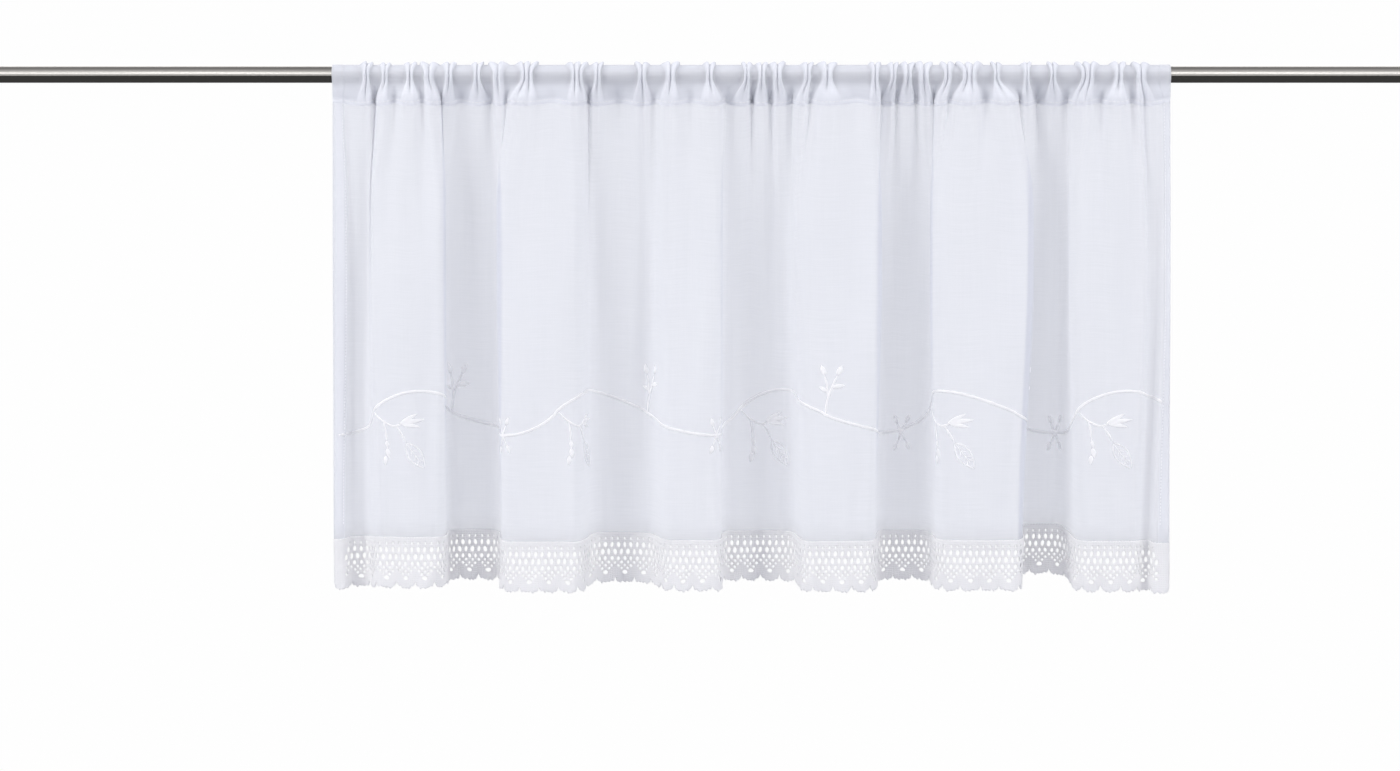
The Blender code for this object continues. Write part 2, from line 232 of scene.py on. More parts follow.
# A row of lace holes: its middle as a share of the drop, the holes' width and height in millimetres, and
# their places in meshes
HoleRow = namedtuple("HoleRow", "down width height places")
HOLE_ROWS = (
    HoleRow(0.12, 1.5, 2.6, (-1, 0, 1)),
    HoleRow(0.243, 3.3, 5.2, (-1, 0, 1)),
    HoleRow(0.383, 3.7, 5.6, (-1.5, -0.5, 0.5, 1.5)),
    HoleRow(0.514, 3.2, 4.2, (-1, 0, 1)),
    HoleRow(0.592, 2.5, 2.7, (-1.5, -0.5, 0.5, 1.5)),
    HoleRow(0.654, 2.4, 2.5, (-0.95, 0, 0.95)),
    HoleRow(0.712, 2.5, 2.3, (-0.5, 0.5)),
    HoleRow(0.792, 5.4, 3.8, (0,)),
)

# Stitches
STITCH, STITCH_GAP = 0.0022, 0.0009
STITCH_RADIUS = 0.00022
STITCH_SIDES = 5
CHAIN_RADIUS = 0.0006

# Vine, which starts anew along the cloth with each repeat. A nudge moves the side stems of one repeat, from
# the one before the cloth's left edge to the one past its right edge.
VINE_NUDGES = (0.0, 0.0, 0.0, 0.0, 0.024, 0.0, 0.0)
VINE_REPEAT = 0.26
VINE_DOWN = 0.32
VINE_START = 0.004
VINE_SWING = 0.021
VINE_LEAN = 0.8
VINE_ROUNDNESS = 0.8
STEM_HALF = 0.0015
STEM_RAISE = 0.0004
SIDE_SHARE, OUTLINE_SHARE, VEIN_SHARE = 0.75, 0.5, 0.3
STEM_SIDES = 8
STEM_STEP = 0.0016
LEAF_RAISE = 0.0005

random.seed(7)


def smooth(share):
    """An S-shaped ramp from 0 to 1."""
    share = np.clip(share, 0.0, 1.0)
    return share * share * (3 - 2 * share)


def mix(a, b, share):
    """A value between a, at share 0, and b, at share 1."""
    return a + (b - a) * share


# Folds, from the part's own fold table


def headings(angle, turns):
    """The cloth's direction at even steps of a stretch that swings to an angle and back, once or twice."""
    swings = np.sin(turns * math.pi * (np.arange(PROFILE_STEPS) + 0.5) / PROFILE_STEPS)
    return angle * np.copysign(np.abs(swings) ** CORNER, swings)


def reach(angle, turns):
    """How far a stretch of length 1 gets along the rod and back."""
    swing = headings(angle, turns)
    return float(np.cos(swing).mean()), float(np.sin(swing).mean())


def riser_angle(run, rise):
    """The steepest angle of a riser, past a right angle where the fold overhangs."""
    low, high = 0.0, math.pi
    for _ in range(40):
        angle = (low + high) / 2
        along, back = reach(angle, 1)
        if math.atan2(back, along) < math.atan2(abs(rise), run):
            low = angle
        else:
            high = angle
    return math.copysign(low, rise)


def plan(x_column, run_column):
    """The cloth seen from above at one height: x, y, flat length and lower edge of each point."""
    xs, ys, lengths, hems = [LEFT], [START_DEPTH * MM], [0.0], [START_HEM * MM]

    def add(angle, turns, length, hem):
        first = hems[-1]
        step = length / PROFILE_STEPS
        for k, heading in enumerate(headings(angle, turns)):
            xs.append(xs[-1] + step * math.cos(heading))
            ys.append(ys[-1] + step * math.sin(heading))
            lengths.append(lengths[-1] + step)
            hems.append(first + (hem - first) * float(smooth((k + 1) / PROFILE_STEPS)))

    def add_flat(end):
        bulge = math.copysign(BULGE, ys[-1])
        add(bulge, 2, (end - xs[-1]) / reach(bulge, 2)[0], hems[-1])

    for riser in RISERS:
        middle, run = getattr(riser, x_column) * MM, getattr(riser, run_column) * MM
        add_flat(middle - run / 2)
        rise = riser.depth * MM - ys[-1]
        angle = riser_angle(run, rise)
        add(angle, 1, rise / reach(angle, 1)[1], riser.hem * MM)
    add_flat(RIGHT)
    return np.array(xs), np.array(ys), np.array(lengths), np.array(hems)


MID_X, MID_Y, _, _ = plan("mid_x", "mid_run")
HEM_X, HEM_Y, HEM_LENGTHS, HEM_EDGE = plan("hem_x", "hem_run")
FLAT = HEM_LENGTHS * FLAT_WIDTH / HEM_LENGTHS[-1]

# The middle of each flat stretch, where the cloth is neither fuller nor tighter than the rest
EVEN_STEPS = [0, *range(2 * PROFILE_STEPS + PROFILE_STEPS // 2, len(FLAT) - PROFILE_STEPS, 2 * PROFILE_STEPS)]
EVEN_STEPS.append(len(FLAT) - 1)
EVEN_FLAT, EVEN_X = FLAT[EVEN_STEPS], HEM_X[EVEN_STEPS]


# Gathers of the heading

Heading = namedtuple("Heading", "flat narrow top height bunched phase_flat phase strength reach")


def pleats(gather, cloth):
    """The small folds inside a gather: shares of its cloth, x from its middle, and how far they stand out."""
    width = gather.width * MM
    count = max(2, round(width / PLEAT_WIDTH))
    half_cloth, half_base = cloth / (2 * count), width / (2 * count)
    tall = min(TALLEST_PLEAT, math.sqrt(max(0.0, half_cloth**2 - half_base**2)))
    lean = random.choice((-1, 1)) * random.uniform(0.25, 0.5)
    leans = [lean * random.uniform(0.5, 1.2) for _ in range(count)]
    talls = [tall * random.uniform(0.8, 1.05) for _ in range(count)]
    share = np.linspace(0, 1, count * PLEAT_STEPS + 1)
    pleat = np.minimum((share * count).astype(int), count - 1)
    height = np.array(talls)[pleat] * np.abs(np.sin(math.pi * count * share)) ** PLEAT_ROUNDNESS
    return share, width * (share - 0.5) + np.array(leans)[pleat] * height, height


def heading_tables():
    """The gathers along the flat cloth: its places on the rod's front and top, how far it stands out and
    whether it is bunched, and the phase, strength and reach downwards of its puckers."""
    feet = [(g.x - g.width / 2, g.x + g.width / 2) for g in GATHERS]
    middles = [(a[1] + b[0]) / 2 * MM for a, b in zip(feet, feet[1:])]
    borders_x = [LEFT, *middles, RIGHT]
    borders_flat = np.interp(borders_x, EVEN_X, EVEN_FLAT)
    flat, narrow, top, height, bunched = [0.0], [LEFT], [LEFT], [0.0], [0.0]
    phase_flat, phase, strength, reach_down = [0.0], [math.pi], [0.4], [PUCKER_REACH]
    for k, (gather, (left, right)) in enumerate(zip(GATHERS, feet)):
        flat_left = borders_flat[k] + left * MM - borders_x[k]
        flat_right = borders_flat[k + 1] - (borders_x[k + 1] - right * MM)
        share, x, stand = pleats(gather, flat_right - flat_left)
        flat.extend(flat_left + share * (flat_right - flat_left))
        narrow.extend(gather.x * MM + x)
        top.extend(gather.x * MM + x * TOP_SPREAD)
        height.extend(stand)
        bunched.extend(np.minimum(1.0, 8 * np.minimum(share, 1 - share)))
        phase_flat += [(flat_left + flat_right) / 2, borders_flat[k + 1]]
        phase += [2 * math.pi * (k + 1), 2 * math.pi * (k + 1) + math.pi]
        strength += [random.uniform(0.7, 1.2), random.uniform(0.4, 1.6)]
        reach_down += [PUCKER_REACH * random.uniform(0.5, 1.3), PUCKER_REACH * random.uniform(0.5, 1.7)]
    ends = [*flat, FLAT_WIDTH], [*narrow, RIGHT], [*top, RIGHT], [*height, 0.0], [*bunched, 0.0]
    return Heading(*(np.array(v) for v in (*ends, phase_flat, phase, strength, reach_down)))


HEADING = heading_tables()


def phase_at(flat):
    """How far along the row of gathers a point is: a whole turn for each, 0 at a gather's middle."""
    return np.interp(flat, HEADING.phase_flat, HEADING.phase)


def seam_x(flat):
    """Where a point of the cloth lies along the rod at the seam: its gather opened out into a bell."""
    even = 0.6 * np.interp(flat, EVEN_FLAT, EVEN_X) + 0.4 * np.interp(flat, FLAT, MID_X)
    hem = np.minimum(flat, FLAT_WIDTH - flat)
    ratio = (RIGHT - LEFT) / FLAT_WIDTH
    bell = BELL_SPREAD * ratio * BELL_PERIOD / (2 * math.pi) * np.sin(phase_at(flat))
    return even + bell * smooth(hem / (2 * SIDE_HEM))


SEAM_FLAT = np.linspace(0, FLAT_WIDTH, 1200)
SEAM_X = seam_x(SEAM_FLAT)


def seam_z(flat):
    """How low the seam is: it sags under each gather."""
    return -POCKET_SEAM - SEAM_SAG * (1 + np.cos(phase_at(flat))) / 2


def pucker(flat, share):
    """How far the gathers push the cloth forward, and the creases between them back, most at the seam."""
    crease = np.abs(np.sin(phase_at(flat) / 2)) ** CREASE_SHARPNESS
    strength = np.interp(flat, HEADING.phase_flat, HEADING.strength)
    fade = np.exp(-share / np.interp(flat, HEADING.phase_flat, HEADING.reach))
    ridge = RIDGE_AT_SEAM * np.interp(flat, HEADING.flat, HEADING.height)
    return -BELL_DEPTH * strength * (1 - 2 * crease) * fade - ridge * fade**2


def creases(flat, share):
    """How far the creases draw the cloth back."""
    total = 0.0
    for c in CREASES:
        middle = np.interp(c.x * MM, SEAM_X, SEAM_FLAT)
        total = total + c.depth * MM * np.exp(-(((flat - middle) / (c.width * MM)) ** 2) - share / c.reach)
    return total


def wrinkles(table, flat, down):
    """Small uneven waves, from a table of them."""
    total = 0.0
    for w in table:
        total = total + w.depth * MM * np.sin(2 * math.pi * (flat / w.across + down / w.down) + w.turn)
    return total


def sheet_point(flat, share):
    """Points of the hanging sheet, from the pocket's seam (share 0) to its lower edge (1) and past it."""
    flat, share = np.broadcast_arrays(np.asarray(flat, float), np.asarray(share, float))
    to_mid = smooth(share / FOLD_SETTLED)
    to_hem = smooth((share - HEM_STARTS) / (1 - HEM_STARTS))
    fold_x = mix(np.interp(flat, FLAT, MID_X), np.interp(flat, FLAT, HEM_X), to_hem)
    fold_y = mix(np.interp(flat, FLAT, MID_Y), np.interp(flat, FLAT, HEM_Y), to_hem)
    inside = np.clip(share, 0.0, 1.0)
    depth = FOLD_AT_SEAM + (1 - FOLD_AT_SEAM) * (1 - (1 - inside) ** 2)
    top, hem = seam_z(flat), np.interp(flat, FLAT, HEM_EDGE)
    z = mix(top, hem, share)
    x = mix(seam_x(flat), fold_x, to_mid)
    y = depth * fold_y + pucker(flat, inside) + creases(flat, inside)
    y = y + wrinkles(WRINKLES, flat, z) * smooth(inside * 3)
    y = y - SEAM_WELT * np.exp(-(((top - z) / POCKET_TAIL) ** 2) * 3)
    return np.stack([x, y, z], axis=-1)


def share_at(flat, down):
    """The share of the way down the sheet at a distance below the rod's axis."""
    top, hem = seam_z(flat), np.interp(flat, FLAT, HEM_EDGE)
    return (-np.asarray(down) - top) / (hem - top)


def cloth_frame(flat, down):
    """Points of the cloth at distances below the rod's axis, with the unit normal that faces the front."""
    step = 0.4 * MM
    flat, down = np.broadcast_arrays(np.asarray(flat, float), np.asarray(down, float))

    def at(f, d):
        return sheet_point(np.clip(f, 0, FLAT_WIDTH), share_at(np.clip(f, 0, FLAT_WIDTH), d))

    along = at(flat + step, down) - at(flat - step, down)
    up = at(flat, down - step) - at(flat, down + step)
    normal = np.cross(along, up)
    return at(flat, down), normal / np.linalg.norm(normal, axis=-1, keepdims=True)


# Panel


def pocket_rows(places):
    """Rows of points of the pocket: up the front from the seam, round the rod and down the back."""
    narrow = np.interp(places, HEADING.flat, HEADING.narrow)
    top = np.interp(places, HEADING.flat, HEADING.top)
    height = np.interp(places, HEADING.flat, HEADING.height)
    seam = sheet_point(places, 0.0)
    dip = math.asin(POCKET_RADIUS / POCKET_SEAM)

    def row(y, z, out_y, out_z, near, behind):
        spread = mix(narrow, top, max(0.0, out_z) ** 2)
        stand = height * near * mix(1.0, TOP_STAND, max(0.0, out_z) ** 2)
        return np.stack([
            mix(seam[:, 0], spread, near),
            y + (seam[:, 1] + behind) * (1 - near) + out_y * stand,
            z + (seam[:, 2] + POCKET_SEAM) * (1 - near) + out_z * stand,
        ], axis=-1)

    rows = []
    ring_y, ring_z = POCKET_RADIUS * math.cos(dip), -POCKET_RADIUS * math.sin(dip)
    legs = [k / LEG_ROWS for k in range(1, LEG_ROWS)]
    for t in legs:
        rows.append(row(-ring_y * t, mix(-POCKET_SEAM, ring_z, t), -1.0, 0.0, float(smooth(t)), 0.0))
    for k in range(RING_ROWS + 1):
        angle = -dip + (math.pi + 2 * dip) * k / RING_ROWS
        out_y, out_z = -math.cos(angle), math.sin(angle)
        rows.append(row(POCKET_RADIUS * out_y, POCKET_RADIUS * out_z, out_y, out_z, 1.0, 0.0))
    for t in reversed(legs):
        rows.append(row(ring_y * t, mix(-POCKET_SEAM, ring_z, t), 1.0, 0.0, float(smooth(t)), LAYER_GAP))
    return rows


def cloth_columns():
    """Flat places of the panel's columns: close together in the gathers, wider between them."""
    edges = [0.0]
    for flat in HEADING.flat[1:]:
        if flat - edges[-1] > GATHER_COLUMN * 0.99:
            edges.append(float(flat))
    edges[-1] = FLAT_WIDTH
    places = []
    for a, b in zip(edges, edges[1:]):
        count = max(1, math.ceil((b - a) / PLAIN_COLUMN))
        places += [a + (b - a) * k / count for k in range(count)]
    places.append(FLAT_WIDTH)
    step = 0.15 * MM
    for line in (SIDE_HEM, FLAT_WIDTH - SIDE_HEM):
        places = [p for p in places if abs(p - line) > 4 * step]
        places += [line - step, line + step]
    return np.array(sorted(places))


def grid_normals(grid):
    """Unit normals of a grid of points, columns by rows."""
    normal = np.cross(np.gradient(grid, axis=0), np.gradient(grid, axis=1))
    return normal / np.linalg.norm(normal, axis=-1, keepdims=True)


def closed_sheet(name, grid, half, flat, lengths, layers):
    """A sheet with a front, a back and edges from a grid of its middle layer, and its weave's coordinates."""
    columns, rows = grid.shape[:2]
    normals = grid_normals(grid)
    points = np.concatenate([(grid + normals * half[..., None]), (grid - normals * half[..., None])])
    points = points.reshape(-1, 3)
    index = np.arange(columns * rows).reshape(columns, rows)
    back = index + columns * rows
    quads = np.stack([index[:-1, :-1], index[1:, :-1], index[1:, 1:], index[:-1, 1:]], axis=-1).reshape(-1, 4)
    faces = [quads, (quads + columns * rows)[:, ::-1]]
    ends = (index[0], back[0]), (back[-1], index[-1])
    edges = (back[:, 0], index[:, 0]), (index[:, -1], back[:, -1])
    for a, b in (*ends, *edges):
        faces.append(np.stack([a[:-1], a[1:], b[1:], b[:-1]], axis=-1))
    mesh = bpy.data.meshes.new(name)
    mesh.from_pydata(points.tolist(), [], np.concatenate(faces).tolist())
    coordinates = np.stack(np.broadcast_arrays(flat[:, None], lengths[None, :]), axis=-1).reshape(-1, 2)
    set_cloth_map(mesh, np.concatenate([coordinates, coordinates]))
    attribute = mesh.attributes.new("layers", "FLOAT", "POINT")
    attribute.data.foreach_set("value", np.concatenate([layers.ravel(), layers.ravel()]))
    mesh.shade_smooth()
    return add_piece(name, mesh)


def set_cloth_map(mesh, coordinates):
    """Gives a mesh the flat cloth's own coordinates, in metres, for its weave."""
    corners = np.empty(len(mesh.loops), dtype=np.int32)
    mesh.loops.foreach_get("vertex_index", corners)
    mesh.uv_layers.new(name="cloth").data.foreach_set("uv", coordinates[corners].ravel())


def add_piece(name, mesh):
    """Puts a mesh in the scene as a piece."""
    piece = bpy.data.objects.new(name, mesh)
    bpy.context.scene.collection.objects.link(piece)
    return piece


def build_panel():
    """The voile: one sheet, folded over the rod and sewn to itself below it, with doubled side hems."""
    places = cloth_columns()
    drop = -HEM_EDGE.mean() - POCKET_SEAM
    welt = np.array(WELT_ROWS) * MM / drop
    shares = (np.arange(SHEET_ROWS + 1) / SHEET_ROWS) ** ROW_CROWDING
    shares[-1] = 1 + LACE_OVERLAP / drop
    shares = np.concatenate([welt, shares[shares > 1.3 * welt[-1]]])
    rows = [sheet_point(places, share) for share in shares[::-1]]
    pocket = pocket_rows(places)
    rows += pocket
    tail = POCKET_TAIL / drop
    for k in range(TAIL_ROWS + 1):
        rows.append(sheet_point(places, tail * k / TAIL_ROWS) + (0.0, LAYER_GAP, 0.0))
    grid = np.stack(rows, axis=1)
    steps = np.linalg.norm(np.diff(grid, axis=1), axis=-1).mean(axis=0)
    lengths = np.concatenate([[0.0], np.cumsum(steps)])
    in_hem = (places < SIDE_HEM) | (places > FLAT_WIDTH - SIDE_HEM)
    bunched = np.interp(places, HEADING.flat, HEADING.bunched)
    layers = np.zeros(grid.shape[:2])
    # Creases are made denser: partly the folded cloth, partly painted shade that makes them read as dark
    # lines.
    creased = creases(places[:, None], shares[None, ::-1]) / (DEEPEST_CREASE * MM)
    layers[:, :len(shares)] = np.maximum(
        np.exp(-(((shares[::-1] * drop) / POCKET_TAIL) ** 4)), CREASE_FOLD_AND_SHADE * creased**CREASE_FALLOFF
    )
    # Painted light and shade: the pocket is fuller, so whiter, over the rod's top and below it, and thinner
    # across the rod's lower half, where the dark rod shows through as a painted shadow.
    height = np.stack([row[:, 2] for row in pocket], axis=1)
    above = smooth(height / ROD_RADIUS + ABOVE_ROD)
    below = smooth((-height / ROD_RADIUS - BELOW_ROD) * BELOW_STEEPNESS)
    painted_light_share = np.maximum(above + below, PAINTED_SHADOW_SHARE)
    layers[:, len(shares):-TAIL_ROWS - 1] = mix(POCKET_LAYERS * painted_light_share, 1.0, bunched[:, None])
    layers[:, -TAIL_ROWS - 1:] = 1.0
    layers[in_hem] = np.maximum(layers[in_hem], HEM_LAYERS)
    half = mix(VOILE, HEM_VOILE, in_hem.astype(float))[:, None] / 2 * np.ones(grid.shape[1])
    half[:, -1] *= TAIL_EDGE
    return closed_sheet("voile_panel", grid, half, places, lengths, layers)


# What is sewn to the cloth: made flat, then laid on it


def lengths_along(line):
    """How far along a line of points each of them is."""
    return np.concatenate([[0], np.cumsum(np.linalg.norm(np.diff(line, axis=0), axis=1))])


def points_along(line, lengths, at):
    """The points of a line at some lengths along it."""
    return np.stack([np.interp(at, lengths, line[:, n]) for n in (0, 1)], axis=1)


class FlatWork:
    """Faces made flat on the cloth: points are (across, down from the rod's axis, raised to the front)."""

    def __init__(self):
        self.points, self.faces, self.places = [], [], []

    def add(self, points, faces, places):
        """Adds points with their material coordinates, and faces that count from the first of them."""
        first = len(self.points)
        self.points.extend(points)
        self.places.extend(places)
        self.faces.extend([first + k for k in face] for face in faces)

    def lay(self, name):
        """Lays it all on the cloth as one piece."""
        flat, down, raised = np.array(self.points).T
        points, normals = cloth_frame(flat, down)
        mesh = bpy.data.meshes.new(name)
        mesh.from_pydata((points + normals * raised[:, None]).tolist(), [], self.faces)
        set_cloth_map(mesh, np.array(self.places))
        mesh.shade_smooth()
        return add_piece(name, mesh)


def ring_faces(rings, sides):
    """Walls between rings of points one after the other, closed at both ends."""
    faces = [list(range(sides))[::-1], list(range((rings - 1) * sides, rings * sides))]
    for a in range(rings - 1):
        for k in range(sides):
            n = (k + 1) % sides
            faces.append([a * sides + k, a * sides + n, (a + 1) * sides + n, (a + 1) * sides + k])
    return faces


def thread(work, line, half, raised, sides, base=0.0):
    """A rounded thread along a line of flat points: half its width at each, and how far it is raised."""
    line, half = np.asarray(line), np.asarray(half)
    along = np.gradient(line, axis=0)
    along /= np.linalg.norm(along, axis=1, keepdims=True)
    across = np.stack([-along[:, 1], along[:, 0]], axis=1)
    lengths = lengths_along(line)
    points, places = [], []
    for k in range(len(line)):
        for n in range(sides):
            angle = 2 * math.pi * n / sides
            place = line[k] + across[k] * half[k] * math.cos(angle)
            lift = raised * math.sin(angle) * half[k] / half.max()
            points.append((place[0], place[1], base + lift))
            places.append((lengths[k], half[k] * angle))
    work.add(points, ring_faces(len(line), sides), places)


# Stitching


def stitch_row(work, line, base, radius=STITCH_RADIUS):
    """A row of machine stitches along a line of flat points, base above the cloth's middle layer."""
    line = np.asarray(line)
    lengths = lengths_along(line)
    for k in range(int(lengths[-1] / (STITCH + STITCH_GAP))):
        start = k * (STITCH + STITCH_GAP) + STITCH_GAP / 2
        at = start + STITCH * np.array([0.0, 0.2, 0.8, 1.0])
        stretch = points_along(line, lengths, at)
        half = radius * np.array([0.4, 1.0, 1.0, 0.4])
        thread(work, stretch, half, radius, STITCH_SIDES, base)


def build_stitches():
    """The seam below the pocket, the side hems' seams, the lace's chained top edge and the seam behind it."""
    work = FlatWork()
    across = np.linspace(0.002, FLAT_WIDTH - 0.002, 900)
    seam = -seam_z(across)
    stitch_row(work, np.stack([across, seam], axis=1), VOILE / 2)
    stitch_row(work, np.stack([across, seam], axis=1), -LAYER_GAP - VOILE / 2)
    lace_top = -np.interp(across, FLAT, HEM_EDGE)
    stitch_row(work, np.stack([across, lace_top + CHAIN_RADIUS / 2], axis=1), LACE_AHEAD, CHAIN_RADIUS)
    stitch_row(work, np.stack([across, lace_top + LACE_OVERLAP / 2], axis=1), -VOILE / 2)
    down = np.linspace(POCKET_SEAM + SEAM_SAG, -HEM_EDGE.max(), 60)
    for line in (SIDE_HEM - STITCH, FLAT_WIDTH - SIDE_HEM + STITCH):
        for side in (-1, 1):
            stitch_row(work, np.stack([np.full_like(down, line), down], axis=1), side * HEM_VOILE / 2)
    return work.lay("stitches")


# Lace edging


def scallop(across):
    """How far down the lace's lower edge is, at a place across one repeat."""
    share = np.abs(across) / (REPEAT / 2)
    picot = PICOT * np.abs(np.sin(math.pi * PICOTS * (across / REPEAT + 0.5)))
    return LACE_DROP - SCALLOP_RISE * share**SCALLOP_FLATNESS - PICOT + picot


def hole_ring(row, place, grow):
    """The corners of a lace hole, or of a ring round it."""
    angles = 2 * math.pi * np.arange(HOLE_CORNERS) / HOLE_CORNERS
    x = place * MESH_PITCH + (row.width * MM / 2 + grow) * np.sin(angles)
    down = row.down * LACE_DROP - (row.height * MM / 2 + grow) * np.cos(angles)
    return np.stack([x, down], axis=1)


def inside_ring(point, ring):
    """True if a point is inside a ring of corners."""
    nxt = np.roll(ring, -1, axis=0)
    step, away = nxt - ring, (point[0], point[1]) - ring
    turns = step[:, 0] * away[:, 1] - step[:, 1] * away[:, 0]
    return bool((turns > 0).all() or (turns < 0).all())


class LaceCell:
    """The points (across, down, half thickness) and edges of one flat repeat, before it has triangles."""

    def __init__(self):
        self.points, self.edges, self.index = [], [], {}

    def at(self, x, down, half):
        """The number of a point, which is added if it is new."""
        key = (round(x, 7), round(down, 7))
        if key not in self.index:
            self.index[key] = len(self.points)
            self.points.append((x, down, half))
        return self.index[key]

    def line(self, corners, half, closed=False):
        """Adds edges from corner to corner."""
        ids = [self.at(x, down, half) for x, down in corners]
        self.edges.extend(zip(ids, ids[1:]))
        if closed:
            self.edges.append((ids[-1], ids[0]))


def add_holes(cell, has_hole):
    """Adds each hole with a rim round it. Returns the holes' rings and the rims'."""
    rings, wide_rings = [], []
    for row in HOLE_ROWS:
        for place in filter(has_hole, row.places):
            rings.append(hole_ring(row, place, 0.0))
            wide_rings.append(hole_ring(row, place, LACE_RIM))
            for ring, half in ((rings[-1], LACE_EDGE_HALF), (wide_rings[-1], LACE_HALF)):
                if abs(place) * MESH_PITCH < BORDER - row.width * MM / 2:
                    cell.line(ring, half, closed=True)
                    continue
                inner = [p for p in ring if abs(p[0]) <= BORDER + 1e-9]
                cell.line(sorted(inner, key=lambda p: p[1]), half)
    return rings, wide_rings


def add_outline(cell, across):
    """Adds the scalloped lower edge and the straight upper one, each with a rim."""
    cell.line(np.stack([across, scallop(across)], axis=1), LACE_EDGE_HALF)
    cell.line(np.stack([across, scallop(across) - LACE_RIM], axis=1), LACE_HALF)
    cell.line([(x, 0.0) for x in across[::4]], LACE_EDGE_HALF)
    cell.line([(x, LACE_RIM) for x in across[::4]], LACE_HALF)


def add_borders(cell, wide_rings):
    """Adds both sides, with points that meet those of the next repeat."""
    for side in (-BORDER, BORDER):
        known = [p[1] for p in cell.points if abs(p[0] - side) < 1e-7]
        gaps = [(r[0][1], r[HOLE_CORNERS // 2][1]) for r in wide_rings if abs(r[0][0] - side) < 1e-7]
        for down in np.linspace(0, scallop(side), BORDER_STEPS + 1)[1:-1]:
            free = all(abs(down - other) > LACE_RIM for other in known)
            if free and not any(low < down < high for low, high in gaps):
                cell.at(side, float(down), LACE_HALF)
        column = sorted((p[1], k) for k, p in enumerate(cell.points) if abs(p[0] - side) < 1e-7)
        cell.edges.extend((a[1], b[1]) for a, b in zip(column, column[1:]))


def add_middle(cell, wide_rings):
    """Adds points of uneven thickness between the holes."""
    edge_points = np.array([(p[0], p[1]) for p in cell.points])
    for j in range(1, int(LACE_DROP / GRID_ROW)):
        for i in range(int(REPEAT / LACE_GRID)):
            x = -BORDER + (i + 0.5 + 0.25 * (-1) ** j) * LACE_GRID
            down = j * GRID_ROW
            clear = np.hypot(*(edge_points - (x, down)).T).min() > LACE_GRID * 0.5
            if clear and abs(x) < BORDER and down < scallop(x) - LACE_RIM:
                if not any(inside_ring((x, down), ring) for ring in wide_rings):
                    cell.at(x, down, LACE_HALF * random.uniform(0.8, 1.2))


def lace_cell(has_hole):
    """One repeat of the lace, flat: its points (across, down, half thickness) and triangles."""
    cell = LaceCell()
    rings, wide_rings = add_holes(cell, has_hole)
    across = np.linspace(-BORDER, BORDER, OUTLINE_STEPS + 1)
    add_outline(cell, across)
    add_borders(cell, wide_rings)
    add_middle(cell, wide_rings)
    flat = [Vector(p[:2]) for p in cell.points]
    found, _, faces, origin, _, _ = delaunay_2d_cdt(flat, cell.edges, [], 0, 1e-8)
    kept = []
    for face in faces:
        middle = sum((found[k] for k in face), Vector((0, 0))) / 3
        hole = any(inside_ring(middle, ring) for ring in rings)
        if not hole and middle.y < scallop(middle.x) + 1e-6 and in_outline(middle, across):
            kept.append(list(face))
    return [(v.x, v.y, cell.points[o[0]][2] if o else LACE_HALF) for v, o in zip(found, origin)], kept


def in_outline(point, across):
    """True if a flat point is above the lower edge as it is drawn, with straight steps."""
    return point[1] < np.interp(point[0], across, scallop(across))


def flat_lace():
    """The whole strip, flat: all its repeats as points (across, down, half thickness) and triangles."""
    cells = {
        "first": lace_cell(lambda place: place > 0.2),
        "middle": lace_cell(lambda place: True),
        "last": lace_cell(lambda place: place < -0.2),
    }
    index, points, triangles = {}, [], []
    for n in range(LACE_REPEATS):
        cell, faces = cells["first" if n == 0 else "last" if n == LACE_REPEATS - 1 else "middle"]
        ids = []
        for x, down, half in cell:
            key = (round((n + 0.5) * REPEAT + x, 6), round(down, 6))
            if key not in index:
                index[key] = len(points)
                points.append((*key, half))
            ids.append(index[key])
        triangles += [[ids[k] for k in face] for face in faces]
    return np.array(points), triangles


def area_of(points, triangles):
    """The area of flat triangles, in square metres."""
    a, b, c = (points[list(ids), :2] for ids in zip(*triangles))
    return float(np.abs(np.cross(b - a, c - a)).sum() / 2)


def thicken(mesh, layers, triangles):
    """Adds the triangles to a mesh on a front and a back layer of points, with walls along all open edges."""
    front, back = ([mesh.verts.new(p) for p in layer.tolist()] for layer in layers)
    sides = {}
    for a, b, c in triangles:
        for pair in ((a, b), (b, c), (c, a)):
            sides.setdefault((min(pair), max(pair)), []).append(pair)
    for a, b, c in triangles:
        mesh.faces.new((front[a], front[b], front[c]))
        mesh.faces.new((back[c], back[b], back[a]))
    for pairs in sides.values():
        if len(pairs) == 1:
            a, b = pairs[0]
            mesh.faces.new((front[b], front[a], back[a], back[b]))
    mesh.verts.index_update()
    bmesh.ops.recalc_face_normals(mesh, faces=mesh.faces)


def build_lace():
    """The crocheted edging, with all its holes, a scalloped lower edge with picots and solid ends. Also the
    area of its cut, measured on the flat layout before it is hung."""
    points, triangles = flat_lace()
    across, down, half = points.T
    ends = smooth(np.minimum(across, FLAT_WIDTH - across) / SIDE_HEM)
    flat = across + wrinkles(LACE_SHIFTS, across, down) * ends
    lowered = (down / LACE_DROP) ** 2
    below = -np.interp(flat, FLAT, HEM_EDGE) + down + wrinkles(LACE_DROPS, across, down) * ends * lowered
    flare = LACE_FLARE * np.sin(2 * math.pi * across / FLARE_PERIOD) * lowered
    middle = LACE_AHEAD * (1 - LACE_DRAWN_IN * smooth(down / LACE_SETTLES)) + flare
    place, normal = cloth_frame(flat, below)
    mesh = bmesh.new()
    thicken(mesh, [place + normal * (middle + side * half)[:, None] for side in (1, -1)], triangles)
    data = bpy.data.meshes.new("crochet_lace")
    mesh.to_mesh(data)
    mesh.free()
    set_cloth_map(data, np.concatenate([points[:, :2], points[:, :2]]))
    data.shade_smooth()
    return add_piece("crochet_lace", data), area_of(points, triangles)


# Vine

